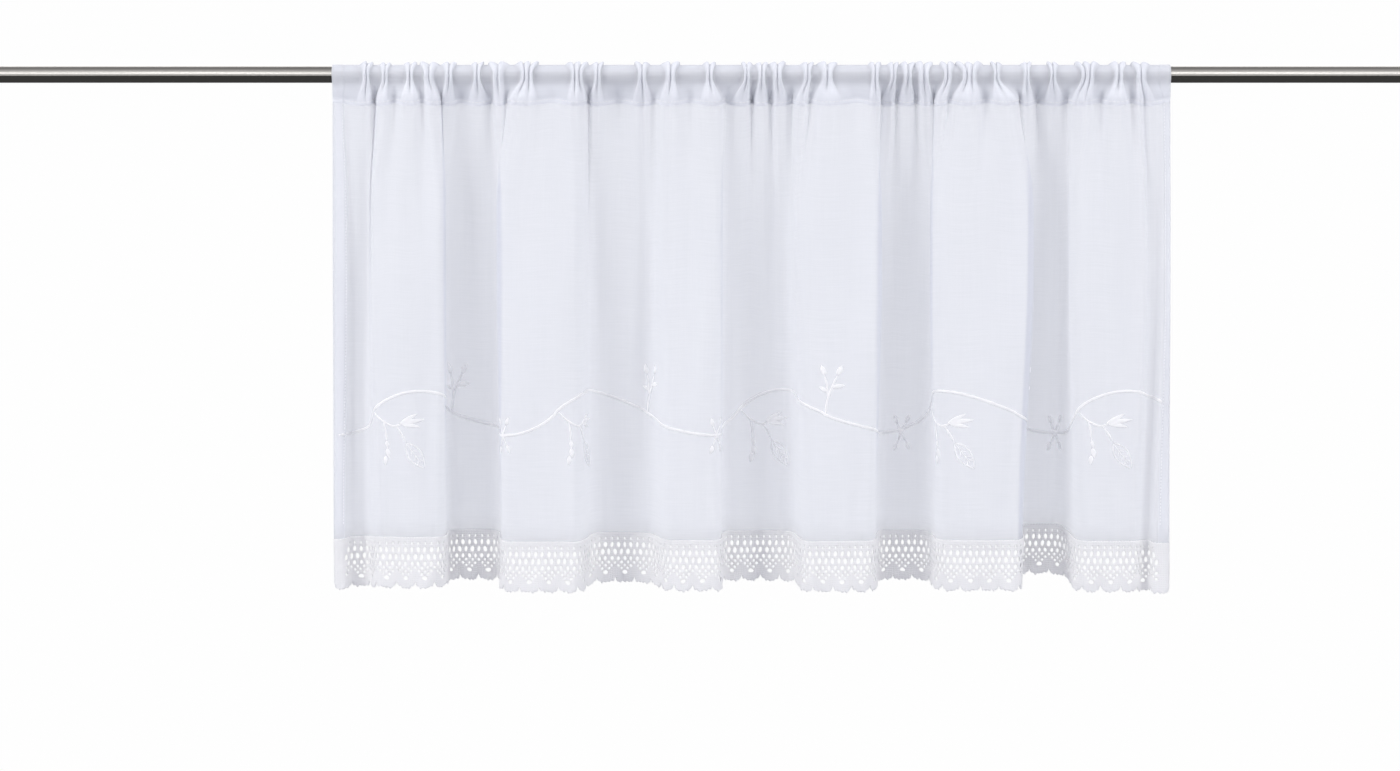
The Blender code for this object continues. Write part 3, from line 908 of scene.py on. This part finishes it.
# Stems of one repeat beside the main one: points across and above the vine's middle line, in millimetres
STEMS = (
    ((56, 2), (64, -6), (76, -12), (86, -9)),
    ((79, -12), (84, -20), (88, -28)),
    ((66, -7), (68, -17), (68.5, -27)),
    ((170, -1), (172, 12), (176, 24), (181, 36)),
    ((172.5, 14), (172, 26), (170, 36)),
    ((-4, -31), (0, -21), (5, -11)),
    ((5, -30), (0, -21), (-4, -12)),
)

# A leaf of one repeat: its foot, the way it points in degrees from the right, and its length and width in
# millimetres. A large leaf is only outlined.
Leaf = namedtuple("Leaf", "across up turn length width")
LEAVES = (
    Leaf(82, -10, 30, 19, 4.4),
    Leaf(85, -9, 9, 21, 4.2),
    Leaf(84, -10, -9, 18, 4.0),
    Leaf(68.5, -26, -80, 7, 3.6),
    Leaf(69, -33, -80, 9, 4.8),
    Leaf(67.5, -40, -98, 9, 4.2),
    Leaf(181, 36, 68, 10, 4.8),
    Leaf(170, 36, 104, 10, 4.8),
    Leaf(176.5, 25, 8, 11, 4.4),
    Leaf(172, 21, 150, 8, 3.8),
    Leaf(5, -11, 66, 8, 4.0),
    Leaf(-4, -12, 108, 8, 4.0),
    Leaf(5, -30, -66, 8, 4.0),
    Leaf(-4, -31, -112, 8, 4.0),
)
LARGE_LEAVES = (Leaf(88, -28, -53, 30, 13),)


def smooth_line(corners, step):
    """A line of even steps on a smooth curve through a few points."""
    corners = np.asarray(corners, float)
    ends = np.vstack([2 * corners[0] - corners[1], corners, 2 * corners[-1] - corners[-2]])
    line = []
    for a, b, c, d in zip(ends, ends[1:], ends[2:], ends[3:]):
        for t in np.linspace(0, 1, 12, endpoint=False):
            bend, turn = 2 * a - 5 * b + 4 * c - d, 3 * b - a - 3 * c + d
            line.append(0.5 * (2 * b + (c - a) * t + bend * t**2 + turn * t**3))
    line.append(corners[-1])
    line = np.array(line)
    lengths = lengths_along(line)
    even = np.linspace(0, lengths[-1], max(4, int(lengths[-1] / step)))
    return points_along(line, lengths, even)


def vine_height(across):
    """How high the main stem is above the vine's middle line, at a place across one repeat."""
    turn = 2 * math.pi * across / VINE_REPEAT
    swing = np.cos(turn + VINE_LEAN * (1 - np.cos(turn)) / 2)
    return -VINE_SWING * np.copysign(np.abs(swing) ** VINE_ROUNDNESS, swing)


def stem(work, line, width):
    """One corded stem along flat points, tapered at both ends and showing on both sides of the cloth."""
    ends = np.minimum(np.arange(len(line)), np.arange(len(line))[::-1])
    half = width * np.minimum(1.0, 0.35 + 0.22 * ends)
    thread(work, line, half, STEM_RAISE, STEM_SIDES)


def leaf(work, foot, turn, length, width):
    """One leaf in satin stitch: two raised halves with a groove between them."""
    shares, sides = np.linspace(0, 1, 12), np.linspace(-1, 1, 9)
    along = np.array([math.cos(turn), math.sin(turn)])
    across = np.array([-along[1], along[0]])
    half = width / 2 * np.sin(math.pi * shares**0.8) ** 0.8
    half[0] = half[-1] = width * 0.03
    points, places = [], []
    for side in (1, -1):
        for share, wide in zip(shares, half):
            for s in sides:
                place = foot + along * length * share + across * wide * s
                bulk = (1 - s**2) ** 0.5 * (0.55 + 0.45 * min(1.0, 3 * abs(s))) * wide / (width / 2)
                points.append((place[0], place[1], side * (VOILE / 2 + LEAF_RAISE * bulk)))
                places.append((length * share + abs(wide * s) * 0.7, wide * s))
    rows, columns = len(shares), len(sides)
    half_count = rows * columns
    faces = []
    for a in range(rows - 1):
        for b in range(columns - 1):
            k = a * columns + b
            quad = [k, k + columns, k + columns + 1, k + 1]
            faces.append(quad)
            faces.append([half_count + n for n in reversed(quad)])
    rim = [k * columns for k in range(rows)]
    far = [k * columns + columns - 1 for k in range(rows)]
    for a, b in zip(rim, rim[1:]):
        faces.append([a, half_count + a, half_count + b, b])
    for a, b in zip(far, far[1:]):
        faces.append([a, b, half_count + b, half_count + a])
    faces.append([*range(columns), *range(half_count + columns - 1, half_count - 1, -1)])
    last = half_count - columns
    faces.append([*range(last + columns - 1, last - 1, -1), *range(half_count + last, 2 * half_count)])
    work.add(points, faces, places)


def large_leaf(work, foot, turn, length, width):
    """One large leaf, outlined with a cord and veined."""
    along = np.array([math.cos(turn), math.sin(turn)])
    across = np.array([-along[1], along[0]])
    for side in (-1, 1):
        edge = [(0.0, 0.0), (0.18, 0.62), (0.45, 1.0), (0.75, 0.66), (1.0, 0.0)]
        corners = [foot + along * length * a + across * side * width / 2 * b for a, b in edge]
        stem(work, smooth_line(corners, STEM_STEP), STEM_HALF * OUTLINE_SHARE)
    vein = [foot, foot + along * length * 0.45, foot + along * length * 0.8]
    stem(work, smooth_line(vein, STEM_STEP), STEM_HALF * VEIN_SHARE)
    for share in (0.3, 0.5, 0.66):
        for side in (-1, 1):
            root = foot + along * length * share
            tip = root + along * length * 0.13 + across * side * width * 0.3
            stem(work, smooth_line([root, (root + tip) / 2, tip], STEM_STEP / 2), STEM_HALF * VEIN_SHARE)


def build_vine():
    """The embroidered vine: a waving stem with side stems and leaves, repeated across the cloth."""
    work = FlatWork()
    across = np.arange(0.001, FLAT_WIDTH, STEM_STEP)
    height = vine_height(across - VINE_START)
    stem(work, np.stack([across, VINE_DOWN - height], axis=1), STEM_HALF)
    for n, nudge in enumerate(VINE_NUDGES, -1):
        start = VINE_START + n * VINE_REPEAT + nudge

        def flat(point):
            return np.array([start + point[0] * MM, VINE_DOWN - point[1] * MM])

        for corners in STEMS:
            if on_cloth(start, corners):
                stem(work, smooth_line([flat(c) for c in corners], STEM_STEP), STEM_HALF * SIDE_SHARE)
        for kind, leaves in ((leaf, LEAVES), (large_leaf, LARGE_LEAVES)):
            for item in leaves:
                turn = math.radians(-item.turn)
                tip = (item.across + item.length * math.cos(turn), item.up)
                if on_cloth(start, [(item.across, item.up), tip]):
                    kind(work, flat((item.across, item.up)), turn, item.length * MM, item.width * MM)
    return work.lay("embroidered_vine")


def on_cloth(start, corners):
    """True if all of a motif's points lie on the cloth, clear of its side hems."""
    return all(SIDE_HEM < start + c[0] * MM < FLAT_WIDTH - SIDE_HEM for c in corners)


# Materials

# Each one's darkest and lightest colour
VOILE_SHADE, VOILE_LIGHT = (0.9, 0.91, 0.94), (0.95, 0.955, 0.97)
YARN_SHADE, YARN_LIGHT = (0.91, 0.9, 0.885), (0.955, 0.945, 0.93)
STEEL_SHADE, STEEL_LIGHT = (0.5, 0.48, 0.46), (0.66, 0.64, 0.62)
PAPER_SHADE, PAPER_LIGHT = (0.9, 0.9, 0.9), (0.93, 0.93, 0.93)

# How open the voile is between thin and thick threads, how much of that a second layer closes, and the
# share of light that comes through a single and a doubled thread
THIN_OPEN, THICK_OPEN, LAYER_CLOSES = 0.57, 0.545, 0.36
SINGLE_GLOW, DOUBLED_GLOW = 0.4, 0.05
YARN_GLOW, SATIN_GLOW = 0.12, 0.03


def plug(tree, socket, value):
    """Links a socket to another node's output, or sets it to a value."""
    if isinstance(value, bpy.types.NodeSocket):
        tree.links.new(value, socket)
    else:
        socket.default_value = value


def add(tree, kind, settings=None, **sockets):
    """Adds a shader node. A socket is named with _ for a space."""
    made = tree.nodes.new(kind)
    for name, value in (settings or {}).items():
        setattr(made, name, value)
    for name, value in sockets.items():
        plug(tree, made.inputs[name.replace("_", " ")], value)
    return made


def new_material(name):
    """An empty node material and its output."""
    material = bpy.data.materials.new(name)
    material.use_nodes = True
    tree = material.node_tree
    tree.nodes.clear()
    return material, tree, tree.nodes.new("ShaderNodeOutputMaterial")


def cloth_place(tree, across, down):
    """The flat cloth's coordinates, in metres, scaled to so many waves per metre each way."""
    place = add(tree, "ShaderNodeUVMap", {"uv_map": "cloth"}).outputs[0]
    return add(tree, "ShaderNodeMapping", Vector=place, Scale=(across, down, 1.0)).outputs[0]


def noise(tree, vector, detail=2.0):
    """A soft noise of unit scale at a place."""
    return add(tree, "ShaderNodeTexNoise", Vector=vector, Scale=1.0, Detail=detail).outputs["Fac"]


def waves(tree, vector, direction):
    """Sine waves across one direction."""
    settings = {"wave_type": "BANDS", "bands_direction": direction, "wave_profile": "SIN"}
    return add(tree, "ShaderNodeTexWave", settings, Vector=vector, Scale=0.314159).outputs["Fac"]


def ranged(tree, value, low, high, to_low, to_high):
    """A value taken from one range to another and held inside it."""
    return add(
        tree, "ShaderNodeMapRange", Value=value, From_Min=low, From_Max=high, To_Min=to_low, To_Max=to_high
    ).outputs[0]


def combine(tree, operation, a, b):
    """Two numbers put together by an operation."""
    made = tree.nodes.new("ShaderNodeMath")
    made.operation = operation
    for socket, value in zip(made.inputs, (a, b)):
        plug(tree, socket, value)
    return made.outputs[0]


def blend(tree, share, first, second):
    """A mix of two shaders: the first at share 0, the second at 1."""
    made = tree.nodes.new("ShaderNodeMixShader")
    for socket, value in zip(made.inputs, (share, first, second)):
        plug(tree, socket, value)
    return made.outputs[0]


def tinted(tree, value, dark, light):
    """A colour between two, by a value from 0 to 1."""
    made = add(tree, "ShaderNodeMix", {"data_type": "RGBA"})
    tree.links.new(value, made.inputs["Factor"])
    made.inputs[6].default_value = (*dark, 1.0)
    made.inputs[7].default_value = (*light, 1.0)
    return made.outputs[2]


def voile_material():
    """Sheer white voile: a fine plain weave with slubs, open between its threads, denser where doubled. Its
    density also holds painted light and shade: fuller and whiter over the rod's top and below it, thinner over
    the rod's lower half so the dark rod shows as a painted shadow, and denser in creases, partly for the
    folded cloth and partly as painted shade.
    """
    material, tree, output = new_material("voile")
    weave = combine(
        tree,
        "ADD",
        waves(tree, cloth_place(tree, 2400, 1), "X"),
        waves(tree, cloth_place(tree, 1, 2400), "Y"),
    )
    slubs = noise(tree, cloth_place(tree, 28, 1100))
    warp = noise(tree, cloth_place(tree, 900, 14))
    cloudy = noise(tree, cloth_place(tree, 16, 9))
    slubs, warp = combine(tree, "MULTIPLY", slubs, 0.7), combine(tree, "MULTIPLY", warp, 0.3)
    threads = combine(tree, "ADD", slubs, warp)
    layers = add(tree, "ShaderNodeAttribute", {"attribute_name": "layers"}).outputs["Fac"]
    colour = tinted(tree, combine(tree, "MULTIPLY", threads, cloudy), VOILE_SHADE, VOILE_LIGHT)
    height = combine(tree, "ADD", combine(tree, "MULTIPLY", weave, 0.5), threads)
    bump = add(tree, "ShaderNodeBump", Height=height, Distance=0.00004, Strength=0.35).outputs[0]
    cloth = add(
        tree,
        "ShaderNodeBsdfPrincipled",
        Base_Color=colour,
        Roughness=ranged(tree, threads, 0.3, 0.7, 0.9, 0.75),
        Normal=bump,
        Sheen_Weight=0.12,
        Specular_IOR_Level=0.25,
    ).outputs[0]
    glow = add(tree, "ShaderNodeBsdfTranslucent", Color=colour, Normal=bump).outputs[0]
    lit = blend(tree, ranged(tree, layers, 0.0, 1.0, SINGLE_GLOW, DOUBLED_GLOW), cloth, glow)
    between = ranged(tree, threads, 0.3, 0.7, THIN_OPEN, THICK_OPEN)
    open_share = combine(tree, "SUBTRACT", between, combine(tree, "MULTIPLY", layers, LAYER_CLOSES))
    clear = add(tree, "ShaderNodeBsdfTransparent").outputs[0]
    tree.links.new(blend(tree, open_share, lit, clear), output.inputs["Surface"])
    return material


def thread_material(name, across, down, depth, roughness, glow_share):
    """White yarn: rows of knots or strands over uneven cotton, so many to the metre each way."""
    material, tree, output = new_material(name)
    place = cloth_place(tree, across, down)
    strands = combine(tree, "MULTIPLY", waves(tree, place, "X"), waves(tree, place, "Y"))
    fuzz = noise(tree, cloth_place(tree, 1400, 1400), 3.0)
    cloudy = noise(tree, cloth_place(tree, 60, 60))
    height = combine(tree, "ADD", strands, combine(tree, "MULTIPLY", fuzz, 0.6))
    colour = tinted(tree, combine(tree, "MULTIPLY", height, cloudy), YARN_SHADE, YARN_LIGHT)
    bump = add(tree, "ShaderNodeBump", Height=height, Distance=depth, Strength=0.6).outputs[0]
    yarn = add(
        tree,
        "ShaderNodeBsdfPrincipled",
        Base_Color=colour,
        Roughness=ranged(tree, fuzz, 0.3, 0.7, roughness - 0.08, roughness + 0.08),
        Normal=bump,
        Sheen_Weight=0.1,
        Specular_IOR_Level=0.3,
    ).outputs[0]
    glow = add(tree, "ShaderNodeBsdfTranslucent", Color=colour, Normal=bump).outputs[0]
    tree.links.new(blend(tree, glow_share, yarn, glow), output.inputs["Surface"])
    return material


def steel_material():
    """Brushed steel: fine lines along the rod in its colour, gloss and relief."""
    material, tree, output = new_material("brushed_steel")
    place = add(tree, "ShaderNodeTexCoord").outputs["Object"]
    brushed = add(tree, "ShaderNodeMapping", Vector=place, Scale=(7.0, 1500.0, 1500.0)).outputs[0]
    lines = noise(tree, brushed, 4.0)
    colour = tinted(tree, lines, STEEL_SHADE, STEEL_LIGHT)
    bump = add(tree, "ShaderNodeBump", Height=lines, Distance=0.00004, Strength=0.3).outputs[0]
    steel = add(
        tree,
        "ShaderNodeBsdfPrincipled",
        Base_Color=colour,
        Metallic=1.0,
        Roughness=ranged(tree, lines, 0.3, 0.7, 0.13, 0.22),
        Normal=bump,
    ).outputs[0]
    tree.links.new(steel, output.inputs["Surface"])
    return material


# Studio

EYE = Vector((-0.0485, -3.0, -0.15))
AIM = Vector((-0.0485, 0.0, -0.2947))
LENS = 81.25

FLOOR_Z = -1.3
FLOOR_RADIUS = 3.0
FLOOR_FADE = 1.2

# A softbox: where it stands, what it lights, its size and its power
Softbox = namedtuple("Softbox", "place aim width height power")
SOFTBOXES = (
    Softbox((-2.6, -1.5, 0.5), (0.0, 0.0, -0.25), 1.4, 1.6, 48),
    Softbox((2.6, -1.5, 0.5), (0.0, 0.0, -0.25), 1.4, 1.6, 40),
    Softbox((0.0, -2.6, 1.1), (0.0, 0.0, -0.2), 3.0, 0.55, 20),
    Softbox((0.0, 2.0, 1.6), (0.0, 0.0, -0.3), 3.0, 1.2, 12),
)
OVERHEAD = Softbox((0.0, -0.5, 2.2), (0.0, 0.0, 0.0), 2.4, 1.2, 24)
BACKDROP = 0.992
WORLD_LIGHT = 0.34
WORLD_TINT = (0.7, 0.74, 1.0, 1.0)
MIRROR_LIGHT = 1.3
WHITE = (1.0, 1.0, 1.0, 1.0)


def add_camera():
    """The camera at the photo's place."""
    data = bpy.data.cameras.new("camera")
    data.lens = LENS
    camera = bpy.data.objects.new("camera", data)
    camera.location = EYE
    camera.rotation_euler = (AIM - EYE).to_track_quat("-Z", "Y").to_euler()
    bpy.context.scene.collection.objects.link(camera)
    bpy.context.scene.camera = camera


def add_softboxes():
    """Large soft lights at both sides, in front, behind and overhead. The rod doesn't mirror the last."""
    for k, box in enumerate((*SOFTBOXES, OVERHEAD)):
        data = bpy.data.lights.new(f"softbox_{k}", "AREA")
        data.shape = "RECTANGLE"
        data.size, data.size_y = box.width, box.height
        data.energy = box.power
        light = bpy.data.objects.new(f"softbox_{k}", data)
        light.location = box.place
        light.visible_glossy = box != OVERHEAD
        light.rotation_euler = (Vector(box.aim) - Vector(box.place)).to_track_quat("-Z", "Y").to_euler()
        bpy.context.scene.collection.objects.link(light)


def set_world():
    """A white backdrop for the camera, a dim room round the lights, and the band that the rod mirrors."""
    world = bpy.data.worlds.new("studio")
    bpy.context.scene.world = world
    world.use_nodes = True
    tree = world.node_tree
    tree.nodes.clear()
    direction = add(tree, "ShaderNodeTexCoord").outputs["Generated"]
    height = add(tree, "ShaderNodeSeparateXYZ", Vector=direction).outputs["Z"]
    rays = add(tree, "ShaderNodeLightPath").outputs
    room = ranged(tree, height, -0.25, 0.35, 0.7, 1.0)
    foot, head = ranged(tree, height, -0.2, -0.1, 0.05, 1.0), ranged(tree, height, 0.2, 1.0, 1.0, 0.2)
    mirrored = combine(tree, "MULTIPLY", foot, head)
    lights = []
    for light, level, tint in ((room, WORLD_LIGHT, WORLD_TINT), (mirrored, MIRROR_LIGHT, WHITE)):
        strength = combine(tree, "MULTIPLY", light, level)
        lights.append(add(tree, "ShaderNodeBackground", Color=tint, Strength=strength).outputs[0])
    lighting = blend(tree, rays["Is Glossy Ray"], *lights)
    seen = add(tree, "ShaderNodeBackground", Color=WHITE, Strength=BACKDROP).outputs[0]
    output = tree.nodes.new("ShaderNodeOutputWorld")
    tree.links.new(blend(tree, rays["Is Camera Ray"], lighting, seen), output.inputs["Surface"])


def add_floor():
    """A plain pale floor that fades into the backdrop."""
    mesh = bmesh.new()
    bmesh.ops.create_circle(mesh, cap_ends=True, segments=64, radius=FLOOR_RADIUS)
    data = bpy.data.meshes.new("floor")
    mesh.to_mesh(data)
    mesh.free()
    floor = add_piece("floor", data)
    floor.location.z = FLOOR_Z
    floor.visible_glossy = False
    material, tree, output = new_material("floor_paper")
    place = add(tree, "ShaderNodeTexCoord").outputs["Object"]
    distance = add(tree, "ShaderNodeVectorMath", {"operation": "LENGTH"})
    tree.links.new(place, distance.inputs[0])
    fade = ranged(tree, distance.outputs["Value"], FLOOR_FADE, FLOOR_RADIUS, 0.0, 1.0)
    grain = noise(tree, add(tree, "ShaderNodeMapping", Vector=place, Scale=(300, 300, 300)).outputs[0])
    colour = tinted(tree, grain, PAPER_SHADE, PAPER_LIGHT)
    paper = add(tree, "ShaderNodeBsdfDiffuse", Color=colour)
    clear = add(tree, "ShaderNodeBsdfTransparent").outputs[0]
    tree.links.new(blend(tree, fade, paper.outputs[0], clear), output.inputs["Surface"])
    data.materials.append(material)


# All of it

add_camera()
set_world()
add_softboxes()
add_floor()
bpy.context.scene.view_settings.view_transform = "Standard"
bpy.context.scene.cycles.transparent_max_bounces = 32

panel = build_panel()
stitches = build_stitches()
lace, lace_area = build_lace()
vine = build_vine()

yarn = thread_material("cotton_yarn", 600, 480, 0.0004, 0.85, YARN_GLOW)
satin = thread_material("satin_thread", 2200, 60, 0.00006, 0.5, SATIN_GLOW)
for piece, material, slot in (
    (panel, voile_material(), "voile"),
    (stitches, satin, "voile"),
    (lace, yarn, "lace"),
    (vine, satin, "voile"),
):
    piece.data.materials.append(material)
    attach(piece, "root")
rod_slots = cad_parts["rod"].material_slots
rod_slots[0].material = steel_material()

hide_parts("panel")
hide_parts("lace_edging")
